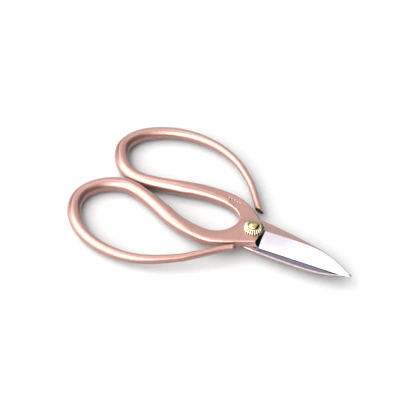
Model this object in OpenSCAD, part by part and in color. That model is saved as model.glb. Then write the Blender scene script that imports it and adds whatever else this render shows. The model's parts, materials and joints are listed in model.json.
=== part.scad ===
// Floral snips: two forged halves with open finger loops, crossed at one rivet with fluted washers.
// Origin: on the rivet's axis, at the flat crown of the struck lower head, which the snips rest on.
// +X runs from the rivet to the blade tips and +Z runs up the rivet. The blades are shut.

/* [Overall] */
// Rivet centre to the back of the finger loops
handle_l = 114; // [100:0.5:130]
// Rivet centre to the blade tips
blade_l = 66; // [56:0.5:80]
// Width across both finger loops
spread = 118; // [110:1:130]

/* [Bar] */
// Bar diameter at the shanks, where the two handles meet
bar_d = 9; // [8.4:0.1:9.2]
// Bar diameter at the free end of each loop
free_end_d = 4.4; // [3.4:0.1:4.5]
// Gap between the handles when the blades are shut
handle_gap = 0.3; // [0.2:0.05:0.6]

/* [Boss and blade] */
// Thickness of each half at the rivet
boss_t = 4.5; // [4:0.1:5.5]
// Thickness of the blade's spine
spine_t = 1.3; // [1:0.1:2]
// Thickness left at the cutting edge
edge_t = 0.3; // [0.2:0.05:0.5]
// Gap between the two mating faces
face_gap = 0.06; // [0.04:0.01:0.2]

/* [Rivet] */
// Diameter of the rivet's pin
pin_d = 4; // [3.4:0.1:4.6]
// Running gap between the pin and the bores, on the radius
bore_gap = 0.05; // [0.02:0.01:0.1]
// Diameter of the round head on top
head_d = 7.2; // [6.4:0.1:8]
// Height of the round head above its washer
head_h = 1.9; // [1.4:0.1:2.4]
// Diameter of the struck head underneath
struck_d = 6.4; // [5.6:0.1:7]
// Height of the struck head below its washer
struck_h = 1.2; // [0.9:0.1:1.5]
// Diameter of the flat crown of the struck head, which the snips rest on
crown_d = 3; // [2:0.1:4]

/* [Washers] */
// Outer diameter of both washers
washer_d = 12.8; // [11.8:0.2:13.4]
// Height of the fluted upper washer
upper_washer_h = 3.1; // [2.4:0.1:3.6]
// Number of flutes round the upper washer
flutes = 24; // [16:2:32]
// Radius of the tool that cuts each flute
flute_r = 0.45; // [0.3:0.05:0.55]
// Height of the plain lower washer
lower_washer_h = 1.4; // [1:0.1:2]

/* [Hidden] */
$fn = 64;
FACE = face_gap / 2;
// Gap between a washer and what it seats on
SEAT_GAP = 0.02;
BOSS_TOP = boss_t + SEAT_GAP;
FACE_Z = BOSS_TOP + lower_washer_h + SEAT_GAP + struck_h;
SCALE_HANDLE = handle_l / 114;
SCALE_BLADE = blade_l / 66;
SCALE_SIDE = spread / 118;
BORE_R = pin_d / 2 + bore_gap;
WASHER_R = washer_d / 2;
// Share of each washer's height that its upright rim takes
UPPER_RIM = 0.35;
LOWER_RIM = 0.5;
TOUCH_Y = bar_d / 2 + handle_gap / 2;
// A section's first ring point lies this many degrees round its oval
RING_START = 198;
CORNER_POINTS = 4;
// The bar thickens from its free end and has its full diameter at this share of its length
FULL_AT = 0.85;
CORNERS = 5;
// A cut corner takes no more than this share of the side next to it
MAX_CUT = 0.45;
RING = CORNERS * CORNER_POINTS;
LOOP_STEPS = 5;
SHANK_STEPS = 3;
BLADE_STEPS = 3;

// Centreline of each half's loop as x, y and height above the mating face, from just behind its free
// end, out round the back and forward along the inside to the shank. The bars are bent by hand, so
// the two loops differ a little. The handles nearly touch at TOUCH_Y.
UPPER_LOOP = [
    [-4.3, -17.3, 2], [-8.7, -21.1, 1.8], [-14.5, -27, 1.4], [-20.7, -33.2, 0.9], [-27.8, -39.8, 0.4],
    [-41.5, -49.4, 0.1], [-54, -54.6, 0], [-67, -56.4, 0], [-79, -55.2, 0], [-89.6, -51.3, 0],
    [-98.1, -45.4, 0], [-104.3, -38.3, 0], [-107.5, -30.8, 0], [-107.8, -23.5, 0], [-105.2, -16.9, 0],
    [-100.6, -11.1, 0], [-94.7, -7, 0], [-88, -TOUCH_Y, 0], [-80.1, -5, 0], [-71.5, -7, 0]
];
LOWER_LOOP = [
    [-9.9, -23.1, 1.9], [-14.2, -27.8, 1.6], [-20, -34, 1.1], [-26.9, -40.2, 0.6], [-39.5, -48.7, 0.1],
    [-54, -54.1, 0], [-67, -55.6, 0], [-79, -54.5, 0], [-89.7, -51, 0], [-98.8, -45.5, 0],
    [-105.5, -38.8, 0], [-109.1, -31, 0], [-109.3, -23.7, 0], [-106.3, -16.9, 0], [-100.9, -10.9, 0],
    [-94.9, -6.8, 0], [-88, -TOUCH_Y, 0], [-80.1, -5, 0], [-71.5, -7, 0]
];

// Each free end stops at this line beside the shank: the upper one is rounded over and the lower one
// is cut off slantwise
UPPER_END = [[-4.6, -15.2], [-2.3, -17.3]];
LOWER_END = [[-11.2, -20.9], [-5, -20.1]];

// Sections from the shank to the boss. Each is a line across the bar, from its outer side to its
// inner side, then four heights above the mating face (outer side, ridge, inner side, underside),
// where along the line the ridge is, how square the section is, how far its worn corners are cut
// (between top and outer side, and the one opposite) and how far its other corners are cut.
SHANK = [
    // x, y outer    x, y inner     z: outer, ridge, inner, under     ridge  square  corners
    [-64.1, -14.3,   -61.1, -5.3,   4.5, 4.5, 4.5, -4.5,              0.5,   0,      2.3, 2.3],
    [-57.6, -16.8,   -53.9, -7.4,   4.5, 4.5, 4.5, -4.2,              0.5,   0.05,   2.6, 2.3],
    [-50.4, -19.4,   -47.2, -10,    4.5, 4.5, 4.45, -3.5,             0.5,   0.2,    3, 2.1],
    [-42.3, -21.4,   -40.1, -12.1,  4.5, 4.5, 4.3, -2.5,              0.5,   0.5,    3.2, 1.6],
    [-34, -22.6,     -33.1, -13.5,  boss_t, boss_t, 4.1, -1.6,        0.5,   0.85,   3.2, 1.2],
    [-26, -22.9,     -26.4, -13.7,  boss_t, boss_t, 4, -1,            0.5,   1,      2.8, 1],
    [-18.5, -21.8,   -20.2, -12.2,  boss_t, boss_t, 4, -0.6,          0.5,   1,      2.3, 0.9],
    [-12, -18.9,     -14.8, -8.1,   boss_t, boss_t, 4, -0.1,          0.55,  1,      1.6, 0.8],
    [-6.5, -15.8,    -12.1, -2.1,   boss_t, boss_t, 3.8, FACE,        0.65,  1,      1.2, 0.8],
    [-2.2, -13,      -11.2, 4.2,    boss_t, boss_t, 3.2, FACE,        0.7,   1,      1, 0.7],
    [1, -11.2,       -7.6, 9.2,     boss_t, boss_t, 2.3, FACE,        0.7,   1,      0.9, 0.5],
    [3.6, -9.8,      -1.6, 11.6,    boss_t, boss_t, 1.6, FACE,        0.64,  1,      0.8, 0.4],
    [5.6, -8.7,      4.6, 11.9,     boss_t, boss_t, spine_t, FACE,    0.54,  1,      0.7, 0.3]
];

// Sections of the blade, from the shoulder in front of the boss to the tip: the cutting edge is on
// the outer side and the spine on the inner side, and the ridge between the ground face and the
// painted back runs out to the spine two thirds of the way along.
BLADE = [
    [8.2, -8.3,      7, 11.8,       edge_t, 4.3, spine_t, FACE,       0.54,  1,      0.12, 0.12],
    [18, -7.1,       18, 11.2,      edge_t, 3.4, spine_t, FACE,       0.65,  1,      0.12, 0.12],
    [29, -5.8,       29, 10.3,      edge_t, 2.4, spine_t, FACE,       0.79,  1,      0.12, 0.12],
    [40, -4.5,       40, 9,         edge_t, 1.5, 1.25, FACE,          0.93,  1,      0.12, 0.12],
    [48, -3.6,       48, 7.4,       edge_t, 1.25, 1.1, FACE,          0.95,  1,      0.12, 0.12],
    [54, -2.9,       54, 5.5,       edge_t, 1.05, 0.95, FACE,         0.95,  1,      0.1, 0.1],
    [59, -2.2,       59, 3.3,       edge_t, 0.85, 0.8, FACE,          0.93,  1,      0.08, 0.08],
    [62.8, -1.6,     62.8, 1.2,     edge_t, 0.65, 0.6, FACE,          0.9,   1,      0.06, 0.06],
    [65, -1.25,      65, -0.2,      edge_t, 0.5, 0.48, FACE,          0.85,  1,      0.05, 0.05],
    [66, -1.05,      66, -0.75,     edge_t, 0.4, 0.4, FACE,           0.8,   1,      0.03, 0.03]
];

function mix(a, b, t) = a + (b - a) * t;
function ease(t) = t * t * (3 - 2 * t);
function clamp_index(i, n) = max(0, min(n - 1, i));
function scale_x(x) = x * (x < 0 ? SCALE_HANDLE : SCALE_BLADE);

// A point at the fraction t between points[i] and points[i + 1] of a smooth curve through them all
function curve_point(points, i, t) =
    let (n = len(points),
         a = points[clamp_index(i - 1, n)], b = points[i],
         c = points[clamp_index(i + 1, n)], d = points[clamp_index(i + 2, n)])
    b + 0.5 * t * (c - a + t * (2 * a - 5 * b + 4 * c - d + t * (3 * b - a - 3 * c + d)));

function curve(points, steps) = [
    for (i = [0 : len(points) - 2]) for (s = [0 : steps - 1]) curve_point(points, i, s / steps),
    points[len(points) - 1]
];

function unit(v) = v / norm(v);
function right_of(v) = [v[1], -v[0]];
function heading(points, i) =
    unit(points[clamp_index(i + 1, len(points))] - points[clamp_index(i - 1, len(points))]);
function length_to(points, i) = i == 0 ? 0 : length_to(points, i - 1) + norm(points[i] - points[i - 1]);

function round_row(outer, inner, z, r) =
    [outer[0], outer[1], inner[0], inner[1], z + r, z + r, z + r, z - r, 0.5, 0, r / 3, r / 3];

// A round section of the loop, in the form of a row of SHANK
function loop_row(points, i, total) =
    let (r = mix(free_end_d, bar_d, ease(min(1, length_to(points, i) / total / FULL_AT))) / 2,
         side = right_of(heading(points, i)) * r,
         centre = [points[i][0], points[i][1]])
    round_row(centre + side, centre - side, points[i][2], r);

// The section where the free end stops
function end_row(end, z) =
    round_row(sized_point(end[0]), sized_point(end[1]), z, min(free_end_d, norm(end[1] - end[0])) / 2);

function sized_point(p) = [scale_x(p[0]), p[1] * SCALE_SIDE];
function sized_loop(loop) = [
    for (p = loop) [scale_x(p[0]), p[1] < -TOUCH_Y ? p[1] * SCALE_SIDE : p[1], p[2]]
];

// A row of SHANK or BLADE at the size that the driving dimensions ask for
function sized_row(row) = concat(
    [scale_x(row[0]), row[1] * SCALE_SIDE, scale_x(row[2]), row[3] * SCALE_SIDE],
    [for (i = [4 : len(row) - 1]) row[i]]
);

// Corner c of a five-cornered section, as a distance across it and a height
function corner(row, width, c) =
    c == 0 ? [0, row[7]] :
    c == 1 ? [width, row[7]] :
    c == 2 ? [width, row[6]] :
    c == 3 ? [width * row[8], row[5]] :
    [0, row[4]];

// One ring of points round a section: each corner is rounded, and mixed with the oval of the bar
function ring(row) =
    let (outer = [row[0], row[1]], inner = [row[2], row[3]], width = norm(inner - outer),
         middle_z = (row[5] + row[7]) / 2, half_z = (row[5] - row[7]) / 2)
    [for (c = [0 : CORNERS - 1]) for (s = [0 : CORNER_POINTS - 1])
        let (p = corner(row, width, c),
             before = corner(row, width, (c + CORNERS - 1) % CORNERS),
             after = corner(row, width, (c + 1) % CORNERS),
             cut = c == 1 || c == 4 ? row[10] : row[11],
             cut_a = min(cut, norm(before - p) * MAX_CUT),
             cut_b = min(cut, norm(after - p) * MAX_CUT),
             a = p + unit(before - p) * cut_a,
             b = p + unit(after - p) * cut_b,
             t = s / (CORNER_POINTS - 1),
             square_point = mix(mix(a, p, t), mix(p, b, t), t),
             angle = RING_START + 360 / RING * (c * CORNER_POINTS + s),
             round_point = [width / 2 * (1 + cos(angle)), middle_z + half_z * sin(angle)],
             q = mix(round_point, square_point, row[9]),
             plan = mix(outer, inner, q[0] / width))
        [plan[0], plan[1], q[1]]
    ];

BLADE_ROWS = curve([for (row = BLADE) sized_row(row)], BLADE_STEPS);

// All the sections of one half, from its free end to its blade tip
function half_rows(loop, end) =
    let (line = curve(sized_loop(loop), LOOP_STEPS), last = len(line) - 1, total = length_to(line, last),
         shank = concat([loop_row(line, last, total)], [for (row = SHANK) sized_row(row)]))
    concat(
        [end_row(end, line[0][2])],
        [for (i = [0 : last - 1]) loop_row(line, i, total)],
        curve(shank, SHANK_STEPS),
        BLADE_ROWS
    );

// A closed skin over a list of sections
module loft(rows) {
    rings = [for (row = rows) ring(row)];
    last = len(rows) - 1;
    points = [for (r = rings) for (p = r) p];
    sides = [
        for (i = [0 : last - 1]) for (s = [0 : RING - 1])
            let (a = i * RING + s, b = i * RING + (s + 1) % RING)
            each [[a, b, b + RING], [a, b + RING, a + RING]]
    ];
    first_cap = [for (s = [1 : RING - 2]) [0, s + 1, s]];
    last_cap = [for (s = [1 : RING - 2]) [last * RING, last * RING + s, last * RING + s + 1]];
    polyhedron(points, concat(sides, first_cap, last_cap), convexity = 10);
}

// One forging, with its mating face at z = 0 and its bore drilled
module half(loop, end) {
    difference() {
        loft(half_rows(loop, end));
        translate([0, 0, -1]) cylinder(r = BORE_R, h = boss_t + 2);
    }
}

// Half profile of a round head, from radius r at height z in to radius r_end at height z + h
function head_profile(r, z, h, r_end = 0, steps = 12) = [
    for (i = [0 : steps]) [r_end + (r - r_end) * cos(90 * i / steps), z + h * sin(90 * i / steps)]
];

// Half profile of a washer: an upright rim, then a quarter of an oval up to the seat of the head
function washer_profile(rim_h, h, seat_r, steps = 8) = concat(
    [[BORE_R, 0], [WASHER_R, 0]],
    [for (i = [0 : steps])
        [seat_r + (WASHER_R - seat_r) * cos(90 * i / steps), rim_h + (h - rim_h) * sin(90 * i / steps)]],
    [[BORE_R, h]]
);

module upper_half() {
    color([0.80, 0.60, 0.55]) translate([0, 0, FACE_Z]) half(UPPER_LOOP, UPPER_END);
}

module lower_half() {
    color([0.74, 0.53, 0.48]) translate([0, 0, FACE_Z]) rotate([180, 0, 0])
        half(LOWER_LOOP, LOWER_END);
}

module rivet() {
    seat = BOSS_TOP + upper_washer_h + SEAT_GAP;
    struck_seat = BOSS_TOP + lower_washer_h + SEAT_GAP;
    top = head_profile(head_d / 2, seat, head_h);
    struck = head_profile(struck_d / 2, struck_seat, struck_h, crown_d / 2);
    color([0.80, 0.66, 0.36]) translate([0, 0, FACE_Z])
        rotate_extrude()
            polygon(concat(
                [[0, -FACE_Z]],
                [for (i = [len(struck) - 1 : -1 : 0]) [struck[i][0], -struck[i][1]]],
                [[pin_d / 2, -struck_seat], [pin_d / 2, seat]],
                top
            ));
}

module upper_washer() {
    rim_h = upper_washer_h * UPPER_RIM;
    seat_r = head_d / 2;
    flute_l = norm([WASHER_R - seat_r, upper_washer_h - rim_h]);
    flute_lean = atan2(WASHER_R - seat_r, upper_washer_h - rim_h);
    // The tool starts just outside and above the top of the rim, so that it cuts shallow flutes
    flute_start = [WASHER_R + flute_r * 0.75, 0, rim_h + flute_r * 0.9];
    color([0.83, 0.71, 0.44]) translate([0, 0, FACE_Z + BOSS_TOP])
        difference() {
            rotate_extrude() polygon(washer_profile(rim_h, upper_washer_h, seat_r));
            for (i = [0 : flutes - 1])
                rotate([0, 0, i * 360 / flutes])
                    translate(flute_start)
                        rotate([0, -flute_lean, 0])
                            cylinder(r = flute_r, h = flute_l, $fn = 16);
        }
}

module lower_washer() {
    color([0.83, 0.71, 0.44]) translate([0, 0, FACE_Z - BOSS_TOP]) rotate([180, 0, 0])
        rotate_extrude() polygon(washer_profile(lower_washer_h * LOWER_RIM, lower_washer_h, struck_d / 2));
}

upper_half();
lower_half();
rivet();
upper_washer();
lower_washer();
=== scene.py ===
import json
import math

import bmesh
import bpy
import numpy as np
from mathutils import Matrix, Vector


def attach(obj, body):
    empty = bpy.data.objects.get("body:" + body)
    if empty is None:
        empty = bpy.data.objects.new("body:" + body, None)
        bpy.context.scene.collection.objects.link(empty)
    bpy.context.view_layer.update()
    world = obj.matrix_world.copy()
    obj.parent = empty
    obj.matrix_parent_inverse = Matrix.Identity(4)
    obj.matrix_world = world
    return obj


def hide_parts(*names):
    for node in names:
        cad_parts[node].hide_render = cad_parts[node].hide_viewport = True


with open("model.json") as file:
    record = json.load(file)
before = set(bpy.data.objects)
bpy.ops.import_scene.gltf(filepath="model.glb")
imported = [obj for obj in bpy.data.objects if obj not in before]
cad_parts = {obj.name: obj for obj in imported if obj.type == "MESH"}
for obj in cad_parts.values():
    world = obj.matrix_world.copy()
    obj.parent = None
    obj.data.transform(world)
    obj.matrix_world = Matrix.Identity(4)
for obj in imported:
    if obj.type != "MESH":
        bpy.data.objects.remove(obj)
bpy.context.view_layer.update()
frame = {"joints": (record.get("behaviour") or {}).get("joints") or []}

# Floral snips: two forged halves crossed at a rivet, with a fluted washer on top and a plain one
# underneath. Shapes are built in millimetres round the mating face at z = 0, with the upper half's
# handle on the -Y side, and then placed at the pivot's height in the frame.

MM = 0.001
PIVOT = Vector(frame["joints"][0]["pos_m"])

# ---------------------------------------------------------------- dimensions shared with the CAD
BAR_D, FREE_END_D, FULL_AT = 9.0, 4.4, 0.85
BOSS_T, SPINE_T, EDGE_T = 4.5, 1.3, 0.3
FACE = 0.03
TOUCH_Y = 4.65
PIN_R, BORE_R = 2.0, 2.05
SEAT_GAP = 0.02
BOSS_TOP = BOSS_T + SEAT_GAP
HEAD_R, HEAD_H = 3.6, 1.9
STRUCK_R, STRUCK_H, CROWN_R = 3.2, 1.2, 1.5
WASHER_R = 6.4
UPPER_WASHER_H, LOWER_WASHER_H = 3.1, 1.4
FLUTES = 24
RING_START = 198

# centreline of each loop from just behind its free end: x, y and height above the mating face
UPPER_LOOP = [
    (-4.3, -17.3, 2), (-8.7, -21.1, 1.8), (-14.5, -27, 1.4), (-20.7, -33.2, 0.9), (-27.8, -39.8, 0.4),
    (-41.5, -49.4, 0.1), (-54, -54.6, 0), (-67, -56.4, 0), (-79, -55.2, 0), (-89.6, -51.3, 0),
    (-98.1, -45.4, 0), (-104.3, -38.3, 0), (-107.5, -30.8, 0), (-107.8, -23.5, 0), (-105.2, -16.9, 0),
    (-100.6, -11.1, 0), (-94.7, -7, 0), (-88, -TOUCH_Y, 0), (-80.1, -5, 0), (-71.5, -7, 0),
]
LOWER_LOOP = [
    (-9.9, -23.1, 1.9), (-14.2, -27.8, 1.6), (-20, -34, 1.1), (-26.9, -40.2, 0.6), (-39.5, -48.7, 0.1),
    (-54, -54.1, 0), (-67, -55.6, 0), (-79, -54.5, 0), (-89.7, -51, 0), (-98.8, -45.5, 0),
    (-105.5, -38.8, 0), (-109.1, -31, 0), (-109.3, -23.7, 0), (-106.3, -16.9, 0), (-100.9, -10.9, 0),
    (-94.9, -6.8, 0), (-88, -TOUCH_Y, 0), (-80.1, -5, 0), (-71.5, -7, 0),
]
UPPER_END = ((-4.6, -15.2), (-2.3, -17.3))
LOWER_END = ((-11.2, -20.9), (-5, -20.1))

# x, y outer; x, y inner; z outer, ridge, inner, under; ridge place; squareness; corner cuts: the one
# between top and outer side and its opposite, then the other corners
SHANK = [
    (-64.1, -14.3, -61.1, -5.3, 4.5, 4.5, 4.5, -4.5, 0.5, 0, 2.3, 2.3),
    (-57.6, -16.8, -53.9, -7.4, 4.5, 4.5, 4.5, -4.2, 0.5, 0.05, 2.6, 2.3),
    (-50.4, -19.4, -47.2, -10, 4.5, 4.5, 4.45, -3.5, 0.5, 0.2, 3, 2.1),
    (-42.3, -21.4, -40.1, -12.1, 4.5, 4.5, 4.3, -2.5, 0.5, 0.5, 3.2, 1.6),
    (-34, -22.6, -33.1, -13.5, BOSS_T, BOSS_T, 4.1, -1.6, 0.5, 0.85, 3.2, 1.2),
    (-26, -22.9, -26.4, -13.7, BOSS_T, BOSS_T, 4, -1, 0.5, 1, 2.8, 1.0),
    (-18.5, -21.8, -20.2, -12.2, BOSS_T, BOSS_T, 4, -0.6, 0.5, 1, 2.3, 0.9),
    (-12, -18.9, -14.8, -8.1, BOSS_T, BOSS_T, 4, -0.1, 0.55, 1, 1.6, 0.8),
    (-6.5, -15.8, -12.1, -2.1, BOSS_T, BOSS_T, 3.8, FACE, 0.65, 1, 1.2, 0.8),
    (-2.2, -13, -11.2, 4.2, BOSS_T, BOSS_T, 3.2, FACE, 0.7, 1, 1.0, 0.7),
    (1, -11.2, -7.6, 9.2, BOSS_T, BOSS_T, 2.3, FACE, 0.7, 1, 0.9, 0.5),
    (3.6, -9.8, -1.6, 11.6, BOSS_T, BOSS_T, 1.6, FACE, 0.64, 1, 0.8, 0.4),
    (5.6, -8.7, 4.6, 11.9, BOSS_T, BOSS_T, SPINE_T, FACE, 0.54, 1, 0.7, 0.3),
]
BLADE = [
    (8.2, -8.3, 7, 11.8, EDGE_T, 4.3, SPINE_T, FACE, 0.54, 1, 0.12, 0.12),
    (18, -7.1, 18, 11.2, EDGE_T, 3.4, SPINE_T, FACE, 0.65, 1, 0.12, 0.12),
    (29, -5.8, 29, 10.3, EDGE_T, 2.4, SPINE_T, FACE, 0.79, 1, 0.12, 0.12),
    (40, -4.5, 40, 9, EDGE_T, 1.5, 1.25, FACE, 0.93, 1, 0.12, 0.12),
    (48, -3.6, 48, 7.4, EDGE_T, 1.25, 1.1, FACE, 0.95, 1, 0.12, 0.12),
    (54, -2.9, 54, 5.5, EDGE_T, 1.05, 0.95, FACE, 0.95, 1, 0.1, 0.1),
    (59, -2.2, 59, 3.3, EDGE_T, 0.85, 0.8, FACE, 0.93, 1, 0.08, 0.08),
    (62.8, -1.6, 62.8, 1.2, EDGE_T, 0.65, 0.6, FACE, 0.9, 1, 0.06, 0.06),
    (65, -1.25, 65, -0.2, EDGE_T, 0.5, 0.48, FACE, 0.85, 1, 0.05, 0.05),
    (66, -1.05, 66, -0.75, EDGE_T, 0.4, 0.4, FACE, 0.8, 1, 0.03, 0.03),
]

LOOP_STEPS, SHANK_STEPS, BLADE_STEPS, SHOULDER_STEPS = 12, 8, 8, 6
CORNERS = 5
ARC = 7                             # points round each corner of a section
SIDE = [16, 3, 4, 12, 3]            # points between one corner and the next, from the mating face round
EDGE_LAND, SPINE_LAND = 0.5, 1.05   # flat strips left beside the hollow of the inner face
HOLLOW_DEPTH = 0.42
TOP_WEAR = 1.3       # the outer edge on top is worn this much rounder than its opposite
CUT_SLANT = 0.1      # the lower half's free end is cut off this far out of square
# a row of small punched dots on the lower half's shank: their number, size and depth, and where the
# first and last are (x, y and height above the mating face)
DOTS, DOT_BALL_R, DOT_DEPTH = 5, 0.9, 0.5
DOT_ROW = ((-28.4, 18.5, 1.17), (-20.4, 18.1, 0.73))

# where along the half its finish changes: the mating face is bare steel from here on, at its cutting
# edge and at its spine, and the bevel beside the boss is ground from here on
BARE_AT_EDGE, BARE_AT_SPINE, GROUND_FROM = 6, -6, 7
# edges that turn by more than this many degrees are drawn sharp, on the halves and on the pivot's parts
SHARP_ON_HALF, SHARP_ON_PIVOT = 32, 38
TURNED_SEGMENTS = 96

PAINT, STEEL, HOLLOW_SHADED, SHOULDER_PAINTED_DARK, CUT = range(5)


def mix(a, b, t):
    return a + (b - a) * t


def smooth(a, b, x):
    t = min(1.0, max(0.0, (x - a) / (b - a)))
    return t * t * (3 - 2 * t)


def curve(points, steps):
    """A smooth curve through all the points, with that many steps between each two."""
    p = [np.array(q, float) for q in points]
    out = []
    for i in range(len(p) - 1):
        a, b = p[max(i - 1, 0)], p[i]
        c, d = p[i + 1], p[min(i + 2, len(p) - 1)]
        for s in range(steps):
            t = s / steps
            out.append(b + 0.5 * t * (c - a + t * (2 * a - 5 * b + 4 * c - d + t * (3 * b - a - 3 * c + d))))
    out.append(p[-1])
    return out


def round_row(outer, inner, z, r):
    return np.array([*outer, *inner, z + r, z + r, z + r, z - r, 0.5, 0, r / 2, r / 2])


def loop_rows(loop):
    line = curve(loop, LOOP_STEPS)
    length = [0.0]
    for a, b in zip(line, line[1:]):
        length.append(length[-1] + np.linalg.norm(b - a))
    rows = []
    for i, p in enumerate(line):
        ahead = line[min(i + 1, len(line) - 1)] - line[max(i - 1, 0)]
        ahead = ahead / np.linalg.norm(ahead)
        r = mix(FREE_END_D, BAR_D, smooth(0, FULL_AT, length[i] / length[-1])) / 2
        side = np.array([ahead[1], -ahead[0]]) * r
        rows.append(round_row(p[:2] + side, p[:2] - side, p[2], r))
    return rows


def end_rings(loop, end, rounded):
    """The rings that close the free end, from its tip back: rounded over, or cut off with a worn rim."""
    outer, inner = np.array(end[0], float), np.array(end[1], float)
    r = min(FREE_END_D, np.linalg.norm(inner - outer)) / 2
    last = ring(round_row(outer, inner, loop[0][2], r))
    centre = last.mean(0)
    across = (inner - outer) / np.linalg.norm(inner - outer)
    forward = np.array([-across[1], across[0], 0.0])
    if rounded:
        turns = [math.radians(a) for a in (80, 65, 50, 35, 20)]
        rings = [centre + (last - centre) * math.cos(a) + forward * r * 0.4 * math.sin(a) for a in turns]
        return rings + [last]
    rings = [centre + (last - centre) * 0.9, centre + (last - centre) * 0.975 - forward * 0.04,
             last - forward * 0.16]
    low = last[:, 2].min()
    return [q - np.outer(q[:, 2] - low, forward) * CUT_SLANT for q in rings]


def ring_angles():
    """Where each point of a ring lies round the bar's oval, and which corner or side it is on."""
    step = 360 / (4 * CORNERS)
    out = []
    for c in range(CORNERS):
        for s in range(ARC):
            out.append((RING_START + step * (4 * c + 3 * s / (ARC - 1)), c, s / (ARC - 1), None))
        for j in range(SIDE[c]):
            out.append((RING_START + step * (4 * c + 3 + (j + 1) / (SIDE[c] + 1)), c, None, j))
    return out


RING = ring_angles()


def hollow_at(u, width, x):
    """Depth of the ground hollow in the inner face, u from the cutting edge."""
    a, b = EDGE_LAND, width - SPINE_LAND
    if u <= a or u >= b or width < 3:
        return 0.0
    t = (u - a) / (b - a)
    deep = HOLLOW_DEPTH * smooth(3, 9, width) * smooth(4.5, 9, x)
    return deep * (t ** 1.3) * (1 - t ** 5) * 1.45


def ring(row):
    row = np.array(row, float)
    outer, inner = row[0:2], row[2:4]
    width = np.linalg.norm(inner - outer)
    z_outer, z_ridge, z_inner, z_under, place, square, cut_near, cut_far = row[4:12]
    corners = [np.array(p, float) for p in (
        (0, z_under), (width, z_under), (width, z_inner), (width * place, z_ridge), (0, z_outer))]
    ends = []
    for c in range(CORNERS):
        p, before, after = corners[c], corners[c - 1], corners[(c + 1) % CORNERS]
        la, lb = np.linalg.norm(before - p), np.linalg.norm(after - p)
        cut = (cut_near * (TOP_WEAR if c == 4 and la > 2 else 1)) if c in (1, 4) else cut_far
        ends.append((p + (before - p) / la * min(cut, la * 0.47), p + (after - p) / lb * min(cut, lb * 0.47)))
    middle_z, half_z = (z_ridge + z_under) / 2, (z_ridge - z_under) / 2
    out = []
    for angle, c, t, j in RING:
        a, b = ends[c]
        if t is not None:
            q = mix(mix(a, corners[c], t), mix(corners[c], b, t), t)
        elif c == 0 and square >= 1 and width > EDGE_LAND + SPINE_LAND + 1:
            u = mix(EDGE_LAND, width - SPINE_LAND, j / (SIDE[0] - 1))
            q = np.array([u, z_under + hollow_at(u, width, outer[0])])
        else:
            nxt = ends[(c + 1) % CORNERS][0]
            q = mix(b, nxt, (j + 1) / (SIDE[c] + 1))
        round_point = np.array([width / 2 * (1 + math.cos(math.radians(angle))),
                                middle_z + half_z * math.sin(math.radians(angle))])
        q = mix(round_point, q, square)
        plan = mix(outer, inner, q[0] / width)
        out.append((plan[0], plan[1], q[1]))
    return np.array(out)


def shoulder_rings(top, bottom):
    """The curved wall that drops from the boss to the ground bevel, between two rings."""
    first, last = top.copy(), bottom.copy()
    for k, (_, c, t, j) in enumerate(RING):
        if c == 3:   # along the top, from the ridge (f = 1) to the cutting edge (f = 0)
            f = 1 - (0.5 * (t if t is not None and t > 0.5 else 0) if t is not None else (j + 1) / (SIDE[3] + 1))
        elif c == 4 and t is not None:
            f = 0.0
        elif c == 2 and t is None:
            f = (j + 1) / (SIDE[2] + 1)
        else:
            continue
        first[k][0] += 0.2 + 1.45 * f - 0.5 * math.sin(math.pi * f)
        last[k][0] += -1.0 * f - 0.25 * math.sin(math.pi * f)
    rings = [first]
    for s in range(1, SHOULDER_STEPS):
        t = s / SHOULDER_STEPS
        r = mix(first, last, t)
        r[:, 2] = mix(first[:, 2], last[:, 2], 1 - (1 - t) ** 1.7)
        rings.append(r)
    rings.append(last)
    return rings


def face_slot(c, t_mid, j, x, in_shoulder):
    """Which material a patch of the section's skin has: paint, bare steel, or steel with painted shade in the
    hollow and on the shoulder.
    """
    on_inner_face = (c == 0 and (t_mid is None or t_mid > 0.5)) or (c == 1 and t_mid is not None and t_mid < 0.5)
    if on_inner_face:
        near_edge = c == 0 and (t_mid is not None or j < SIDE[0] // 2)
        if x < (BARE_AT_EDGE if near_edge else BARE_AT_SPINE):
            return PAINT
        # the hollow between the lands gets the darker steel: painted shade
        if c == 0 and t_mid is None and 0 <= j < SIDE[0] - 1 and x > BARE_AT_EDGE:
            return HOLLOW_SHADED
        return STEEL
    on_top = (c == 3 and (t_mid is None or t_mid > 0.5)) or (c == 4 and t_mid is not None and t_mid < 0.5)
    # the shoulder wall's top gets the near-black steel: a painted dark reflection
    if in_shoulder and on_top:
        return SHOULDER_PAINTED_DARK
    if x > GROUND_FROM and (on_top or c == 4 or (c == 0 and t_mid is not None)):
        return STEEL
    return PAINT


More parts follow.
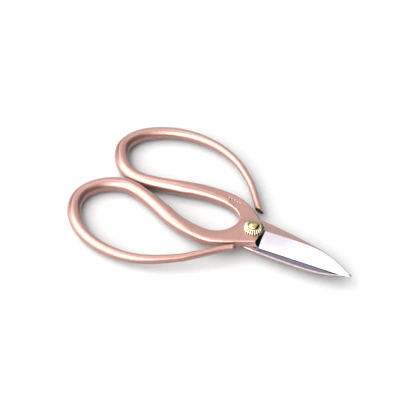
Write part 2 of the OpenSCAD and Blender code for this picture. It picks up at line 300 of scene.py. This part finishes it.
def build_half(name, slots, flip, loop, end, rounded, dots=()):
    bar_rows = loop_rows(loop)
    shank_rows = curve([bar_rows[-1]] + SHANK, SHANK_STEPS)
    blade_rows = curve(BLADE, BLADE_STEPS)
    rings = end_rings(loop, end, rounded)
    rings += [ring(r) for r in bar_rows[:-1]]
    rings += [ring(r) for r in shank_rows[:-1]]
    shoulder = shoulder_rings(ring(shank_rows[-1]), ring(blade_rows[0]))
    shoulder_from = len(rings)
    rings += shoulder
    shoulder_to = len(rings) - 1
    rings += [ring(r) for r in blade_rows[1:]]

    n = len(RING)
    place = (lambda p: Vector((p[0], -p[1], -p[2])) * MM + PIVOT) if flip else (
        lambda p: Vector((p[0], p[1], p[2])) * MM + PIVOT)
    bm = bmesh.new()
    verts = [[bm.verts.new(place(p)) for p in r] for r in rings]
    for i in range(len(rings) - 1):
        for s in range(n):
            k = (s + 1) % n
            c, t, j = RING[s][1:]
            t_mid = None if t is None or t == 1 else t + 0.5 / (ARC - 1)
            j_here = -1 if t == 1 else j
            x = (rings[i][s][0] + rings[i + 1][s][0]) / 2
            f = bm.faces.new((verts[i][s], verts[i][k], verts[i + 1][k], verts[i + 1][s]))
            f.material_index = face_slot(c, t_mid, j_here, x, shoulder_from <= i < shoulder_to)
            if i == 0 and not rounded:
                f.material_index = CUT
            f.smooth = True
    for r, m in ((verts[0], PAINT if rounded else CUT), (verts[-1], STEEL)):
        f = bm.faces.new(r)
        f.material_index = m
    bmesh.ops.recalc_face_normals(bm, faces=bm.faces)
    for e in bm.edges:
        if len(e.link_faces) == 2:
            a, b = e.link_faces
            if a.material_index != b.material_index or e.calc_face_angle(0) > math.radians(SHARP_ON_HALF):
                e.smooth = False
    mesh = bpy.data.meshes.new(name)
    bm.to_mesh(mesh)
    bm.free()
    for m in slots:
        mesh.materials.append(m)
    obj = bpy.data.objects.new(name, mesh)
    bpy.context.scene.collection.objects.link(obj)
    drill(obj, dots)
    return obj


def dot_places():
    """Centres of the balls that punch the row of dots."""
    first, last = np.array(DOT_ROW[0]), np.array(DOT_ROW[1])
    return [mix(first, last, i / (DOTS - 1)) + (0, 0, DOT_BALL_R - DOT_DEPTH) for i in range(DOTS)]


def drill(obj, dots):
    """Cuts the rivet's bore through the boss, and punches the dots."""
    bm = bmesh.new()
    bmesh.ops.create_cone(bm, cap_ends=True, segments=TURNED_SEGMENTS,
                          radius1=BORE_R * MM, radius2=BORE_R * MM, depth=0.02)
    for p in dots:
        ball = bmesh.ops.create_icosphere(bm, subdivisions=3, radius=DOT_BALL_R * MM)
        bmesh.ops.translate(bm, verts=ball["verts"], vec=Vector(p) * MM)
    bmesh.ops.translate(bm, verts=bm.verts, vec=PIVOT)
    mesh = bpy.data.meshes.new("bore_tool")
    bm.to_mesh(mesh)
    bm.free()
    tool = bpy.data.objects.new("bore_tool", mesh)
    bpy.context.scene.collection.objects.link(tool)
    mod = obj.modifiers.new("bore", "BOOLEAN")
    mod.object = tool
    mod.operation = "DIFFERENCE"
    mod.solver = "EXACT"
    bpy.context.view_layer.update()
    dg = bpy.context.evaluated_depsgraph_get()
    result = bpy.data.meshes.new_from_object(obj.evaluated_get(dg))
    obj.modifiers.clear()
    obj.data = result
    bpy.data.objects.remove(tool)


# ---------------------------------------------------------------- rivet and washers

def grid_object(name, grid, closed_ring, materials, place, second=None):
    """A mesh from rows of points, each row a closed ring; second tells which patches have materials[1]."""
    bm = bmesh.new()
    rows = [[bm.verts.new(place(p)) for p in row] for row in grid]
    n = len(grid[0])
    for i, (a, b) in enumerate(zip(rows, rows[1:])):
        for s in range(n):
            k = (s + 1) % n
            f = bm.faces.new((a[s], a[k], b[k], b[s]))
            f.smooth = True
            if second and second(i, s):
                f.material_index = 1
    if closed_ring:
        for s in range(n):
            k = (s + 1) % n
            f = bm.faces.new((rows[-1][s], rows[-1][k], rows[0][k], rows[0][s]))
            f.smooth = True
    else:
        for r in (rows[0], rows[-1]):
            bm.faces.new(r)
    bmesh.ops.recalc_face_normals(bm, faces=bm.faces)
    for e in bm.edges:
        if len(e.link_faces) == 2 and e.calc_face_angle(0) > math.radians(SHARP_ON_PIVOT):
            e.smooth = False
    mesh = bpy.data.meshes.new(name)
    bm.to_mesh(mesh)
    bm.free()
    for m in materials:
        mesh.materials.append(m)
    obj = bpy.data.objects.new(name, mesh)
    bpy.context.scene.collection.objects.link(obj)
    return obj


def above(p):
    return Vector((p[0], p[1], p[2])) * MM + PIVOT


def build_rivet(material):
    profile = []
    z = -(BOSS_TOP + LOWER_WASHER_H + SEAT_GAP)
    # struck head underneath, from its crown outwards
    for i in range(9):
        profile.append((CROWN_R * i / 9 + 0.02, z - STRUCK_H))
    for i in range(17):
        a = math.radians(90 - 90 * i / 16)
        profile.append((CROWN_R + (STRUCK_R - CROWN_R) * math.cos(a), z - STRUCK_H * math.sin(a)))
    profile.append((PIN_R + 0.1, z))
    profile.append((PIN_R, z + 0.1))
    seat = BOSS_TOP + UPPER_WASHER_H + SEAT_GAP
    profile.append((PIN_R, seat - 0.1))
    profile.append((PIN_R + 0.1, seat))
    profile.append((HEAD_R - 0.16, seat))
    for i in range(29):
        a = math.radians(90 * i / 29)
        profile.append((HEAD_R * math.cos(a), seat + 0.22 + (HEAD_H - 0.22) * math.sin(a)))
    profile.append((0.02, seat + HEAD_H))
    segments = TURNED_SEGMENTS
    grid = [[(r * math.cos(2 * math.pi * s / segments), r * math.sin(2 * math.pi * s / segments), h)
             for s in range(segments)] for r, h in profile]
    return grid_object("rivet_turned", grid, False, [material], above)


def build_upper_washer(material, flute_shade_material):
    """Chrysanthemum washer: a steep rim and a domed top cut into petals by radial flutes, whose bottoms get
    near-black brass as painted shade.
    """
    per_petal = 12
    segments = FLUTES * per_petal
    base = BOSS_TOP
    rim = UPPER_WASHER_H * 0.35
    seat_r = HEAD_R
    profile = [(BORE_R, 0.0, 0.0), (WASHER_R - 0.25, 0.0, 0.0), (WASHER_R - 0.05, 0.12, 0.2), (WASHER_R, 0.35, 0.6)]
    for i in range(25):
        a = math.radians(90 * i / 24)
        r = seat_r + (WASHER_R - seat_r) * math.cos(a)
        h = rim + (UPPER_WASHER_H - rim) * math.sin(a)
        share = 1.0 - smooth(0.62, 0.97, i / 24)
        profile.append((r, h, share))
    profile.append((seat_r - 0.2, UPPER_WASHER_H, 0.0))
    profile.append((BORE_R, UPPER_WASHER_H, 0.0))
    grid = []
    for r, h, share in profile:
        row = []
        for s in range(segments):
            theta = 2 * math.pi * s / segments
            groove = (1 - abs(math.sin(FLUTES * theta / 2))) ** 1.6
            rr = r - 0.55 * share * groove * smooth(seat_r, WASHER_R, r)
            hh = h - 0.55 * share * groove * smooth(0.2, 1.2, h)
            row.append((rr * math.cos(theta), rr * math.sin(theta), base + hh))
        grid.append(row)

    # the faces along each flute's bottom get the near-black brass: painted shade
    def in_flute_shade(i, s):
        return min(s % per_petal, per_petal - 1 - s % per_petal) < 2 and profile[i][2] > 0.25
    return grid_object("chrysanthemum_washer", grid, True, [material, flute_shade_material], above, in_flute_shade)


def build_lower_washer(material):
    segments = TURNED_SEGMENTS
    base = -BOSS_TOP
    rim = LOWER_WASHER_H * 0.5
    profile = [(BORE_R, 0.0), (WASHER_R - 0.15, 0.0), (WASHER_R, 0.15)]
    for i in range(15):
        a = math.radians(90 * i / 14)
        profile.append((STRUCK_R + (WASHER_R - STRUCK_R) * math.cos(a), rim + (LOWER_WASHER_H - rim) * math.sin(a)))
    profile.append((BORE_R, LOWER_WASHER_H))
    grid = [[(r * math.cos(2 * math.pi * s / segments), r * math.sin(2 * math.pi * s / segments), base - h)
             for s in range(segments)] for r, h in profile]
    return grid_object("plain_washer", grid, True, [material], above)


# ---------------------------------------------------------------- materials

def material(name):
    m = bpy.data.materials.new(name)
    m.use_nodes = True
    tree = m.node_tree
    shader = tree.nodes["Principled BSDF"]
    coords = tree.nodes.new("ShaderNodeTexCoord")
    return m, tree, shader, coords


def noise_node(tree, coords, scale, detail=2.0, rough=0.5):
    n = tree.nodes.new("ShaderNodeTexNoise")
    n.inputs["Scale"].default_value = scale
    n.inputs["Detail"].default_value = detail
    n.inputs["Roughness"].default_value = rough
    tree.links.new(coords.outputs["Object"], n.inputs["Vector"])
    return n


def ramp(tree, value, low, high, a=0.3, b=0.7):
    """Maps a noise value from a..b to two colours or two greys."""
    r = tree.nodes.new("ShaderNodeValToRGB")
    r.color_ramp.elements[0].position = a
    r.color_ramp.elements[1].position = b
    r.color_ramp.elements[0].color = (*low, 1) if hasattr(low, "__len__") else (low, low, low, 1)
    r.color_ramp.elements[1].color = (*high, 1) if hasattr(high, "__len__") else (high, high, high, 1)
    tree.links.new(value, r.inputs["Fac"])
    return r


def bump(tree, shader, value, strength, distance):
    b = tree.nodes.new("ShaderNodeBump")
    b.inputs["Strength"].default_value = strength
    b.inputs["Distance"].default_value = distance
    tree.links.new(value, b.inputs["Height"])
    tree.links.new(b.outputs["Normal"], shader.inputs["Normal"])


def paint_material():
    m, tree, shader, coords = material("rose_metallic_paint")
    flake = noise_node(tree, coords, 1500, 3, 0.6)
    colour = ramp(tree, flake.outputs["Fac"], (0.25, 0.122, 0.096), (0.355, 0.184, 0.153), 0.30, 0.70)
    tree.links.new(colour.outputs["Color"], shader.inputs["Base Color"])
    cloud = noise_node(tree, coords, 120, 2, 0.5)
    gloss = ramp(tree, cloud.outputs["Fac"], 0.33, 0.39)
    tree.links.new(gloss.outputs["Color"], shader.inputs["Roughness"])
    shader.inputs["Metallic"].default_value = 0.6
    shader.inputs["Coat Weight"].default_value = 1.0
    shader.inputs["Coat IOR"].default_value = 1.9
    shader.inputs["Coat Roughness"].default_value = 0.26
    bump(tree, shader, flake.outputs["Fac"], 0.3, 0.0001)
    return m


def steel_material():
    m, tree, shader, coords = material("polished_steel")
    mapping = tree.nodes.new("ShaderNodeMapping")
    mapping.inputs["Scale"].default_value = (6, 1, 1)
    tree.links.new(coords.outputs["Object"], mapping.inputs["Vector"])
    grind = noise_node(tree, coords, 900, 4, 0.6)
    tree.links.new(mapping.outputs["Vector"], grind.inputs["Vector"])
    colour = ramp(tree, grind.outputs["Fac"], (0.50, 0.475, 0.515), (0.56, 0.535, 0.575))
    tree.links.new(colour.outputs["Color"], shader.inputs["Base Color"])
    gloss = ramp(tree, grind.outputs["Fac"], 0.20, 0.30)
    tree.links.new(gloss.outputs["Color"], shader.inputs["Roughness"])
    shader.inputs["Metallic"].default_value = 1.0
    bump(tree, shader, grind.outputs["Fac"], 0.05, 0.00005)
    return m


def ground_metal_material(name, low, high, rough):
    m, tree, shader, coords = material(name)
    mapping = tree.nodes.new("ShaderNodeMapping")
    mapping.inputs["Scale"].default_value = (1, 8, 1)
    tree.links.new(coords.outputs["Object"], mapping.inputs["Vector"])
    grind = noise_node(tree, coords, 700, 4, 0.6)
    tree.links.new(mapping.outputs["Vector"], grind.inputs["Vector"])
    colour = ramp(tree, grind.outputs["Fac"], low, high)
    tree.links.new(colour.outputs["Color"], shader.inputs["Base Color"])
    gloss = ramp(tree, grind.outputs["Fac"], rough - 0.05, rough + 0.05)
    tree.links.new(gloss.outputs["Color"], shader.inputs["Roughness"])
    shader.inputs["Metallic"].default_value = 1.0
    bump(tree, shader, grind.outputs["Fac"], 0.08, 0.00005)
    return m


def brass_material(name, low, high, rough):
    m, tree, shader, coords = material(name)
    stain = noise_node(tree, coords, 500, 3, 0.55)
    colour = ramp(tree, stain.outputs["Fac"], low, high)
    tree.links.new(colour.outputs["Color"], shader.inputs["Base Color"])
    gloss = ramp(tree, stain.outputs["Fac"], rough - 0.04, rough + 0.06)
    tree.links.new(gloss.outputs["Color"], shader.inputs["Roughness"])
    shader.inputs["Metallic"].default_value = 1.0
    fine = noise_node(tree, coords, 3000, 2, 0.5)
    bump(tree, shader, fine.outputs["Fac"], 0.06, 0.00005)
    return m


def floor_material():
    m, tree, shader, coords = material("white_paper")
    grain = noise_node(tree, coords, 400, 3, 0.6)
    colour = ramp(tree, grain.outputs["Fac"], (0.455, 0.455, 0.455), (0.475, 0.475, 0.475))
    tree.links.new(colour.outputs["Color"], shader.inputs["Base Color"])
    shader.inputs["Roughness"].default_value = 0.9
    shader.inputs["Specular IOR Level"].default_value = 0.1
    return m


paint = paint_material()
steel = steel_material()
# the hollow's steel is coloured much darker than the lands: painted shade
hollow_painted_shade = ground_metal_material("hollow_steel_painted_shade", (0.22, 0.20, 0.245), (0.285, 0.262, 0.31), 0.30)
# the shoulder wall's near-black steel is a painted dark reflection
shoulder_painted_dark = ground_metal_material("shoulder_painted_dark", (0.03, 0.033, 0.048), (0.05, 0.055, 0.075), 0.28)
brass = brass_material("washer_brass", (0.56, 0.495, 0.355), (0.67, 0.60, 0.44), 0.18)
rivet_brass = brass_material("rivet_brass", (0.33, 0.265, 0.145), (0.41, 0.33, 0.185), 0.20)
# near-black brass for the flute bottoms: painted shade
flute_painted_shade = brass_material("washer_flute_painted_shade", (0.08, 0.06, 0.032), (0.12, 0.09, 0.05), 0.35)
cut_end = ground_metal_material("cut_bar_end", (0.26, 0.14, 0.09), (0.40, 0.22, 0.14), 0.45)

HALF_SLOTS = [paint, steel, hollow_painted_shade, shoulder_painted_dark, cut_end]

upper = build_half("upper_forging", HALF_SLOTS, False, UPPER_LOOP, UPPER_END, True)
lower = build_half("lower_forging", HALF_SLOTS, True, LOWER_LOOP, LOWER_END, False, dot_places())
rivet = build_rivet(rivet_brass)
top_washer = build_upper_washer(brass, flute_painted_shade)
under_washer = build_lower_washer(brass)

for piece, body, node, slot in (
    (upper, "upper", "upper_half", "forged_half"),
    (lower, "lower", "lower_half", "forged_half"),
    (rivet, "lower", "rivet", "rivet_brass"),
    (top_washer, "lower", "upper_washer", "washer_brass"),
    (under_washer, "lower", "lower_washer", "washer_brass"),
):
    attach(piece, body)
    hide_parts(node)

# ---------------------------------------------------------------- floor, camera and light

# The snips lie on the rivet's crown and on the backs of both loops, so the floor climbs towards -X.
FLOOR_TILT = math.radians(1.38)
CROWN_DROP = CROWN_R * math.sin(FLOOR_TILT)   # the crown's rear edge is what touches
bm = bmesh.new()
bmesh.ops.create_grid(bm, x_segments=8, y_segments=8, size=4)
floor_mesh = bpy.data.meshes.new("floor")
bm.to_mesh(floor_mesh)
bm.free()
floor_mesh.materials.append(floor_material())
floor = bpy.data.objects.new("floor", floor_mesh)
floor.rotation_euler = (0, FLOOR_TILT, 0)
floor.location = (0, 0, -CROWN_DROP * MM)
bpy.context.scene.collection.objects.link(floor)

AZIMUTH, ELEVATION = math.radians(31.35), math.radians(44.97)
DISTANCE = 0.947                          # from the camera to the pivot, along the view
LENS = 136.61                             # mm, on a sensor 36 mm wide
AIM_LEFT, AIM_UP = 0.02732, 0.01592       # the camera aims this far to the left of the pivot and above it

back = Vector((math.sin(AZIMUTH) * math.cos(ELEVATION), -math.cos(AZIMUTH) * math.cos(ELEVATION),
               math.sin(ELEVATION)))
right = Vector((math.cos(AZIMUTH), math.sin(AZIMUTH), 0))
up = back.cross(right)
camera_data = bpy.data.cameras.new("camera")
camera_data.sensor_width = 36
camera_data.lens = LENS
camera_data.clip_start, camera_data.clip_end = 0.01, 20
camera = bpy.data.objects.new("camera", camera_data)
camera.location = PIVOT + back * DISTANCE - right * AIM_LEFT + up * AIM_UP
camera.rotation_mode = "QUATERNION"
camera.rotation_quaternion = (-back).to_track_quat("-Z", "Y")
bpy.context.scene.collection.objects.link(camera)
bpy.context.scene.camera = camera


def softbox(name, azimuth, elevation, distance, width, height, radiance):
    """A large flat light that faces the rivet."""
    a, e = math.radians(azimuth), math.radians(elevation)
    away = Vector((math.sin(a) * math.cos(e), -math.cos(a) * math.cos(e), math.sin(e)))
    data = bpy.data.lights.new(name, "AREA")
    data.shape = "RECTANGLE"
    data.size, data.size_y = width, height
    data.energy = radiance * math.pi * width * height
    obj = bpy.data.objects.new(name, data)
    obj.location = away * distance
    obj.rotation_mode = "QUATERNION"
    obj.rotation_quaternion = away.to_track_quat("Z", "Y")
    bpy.context.scene.collection.objects.link(obj)


# azimuth and elevation in degrees, then distance, width and height in metres, then radiance
for light in (
    ("ceiling", 211, 84, 1.8, 1.9, 1.9, 1.35),
    ("window", -36, 35, 2.0, 4.8, 2.6, 4.2),
    ("window_left", -99, 52, 2.1, 1.6, 1.5, 1.7),
    ("window_side", 20, 46, 2.1, 1.8, 2.2, 2.8),
    ("back_wall", 204, 35, 1.9, 2.6, 2.7, 0.98),
):
    softbox(*light)

world = bpy.data.worlds.new("studio")
bpy.context.scene.world = world
world.use_nodes = True
world.node_tree.nodes["Background"].inputs["Color"].default_value = (0.12, 0.115, 0.11, 1)
world.node_tree.nodes["Background"].inputs["Strength"].default_value = 1.0

bpy.context.scene.view_settings.view_transform = "Standard"
bpy.context.scene.view_settings.gamma = 0.85
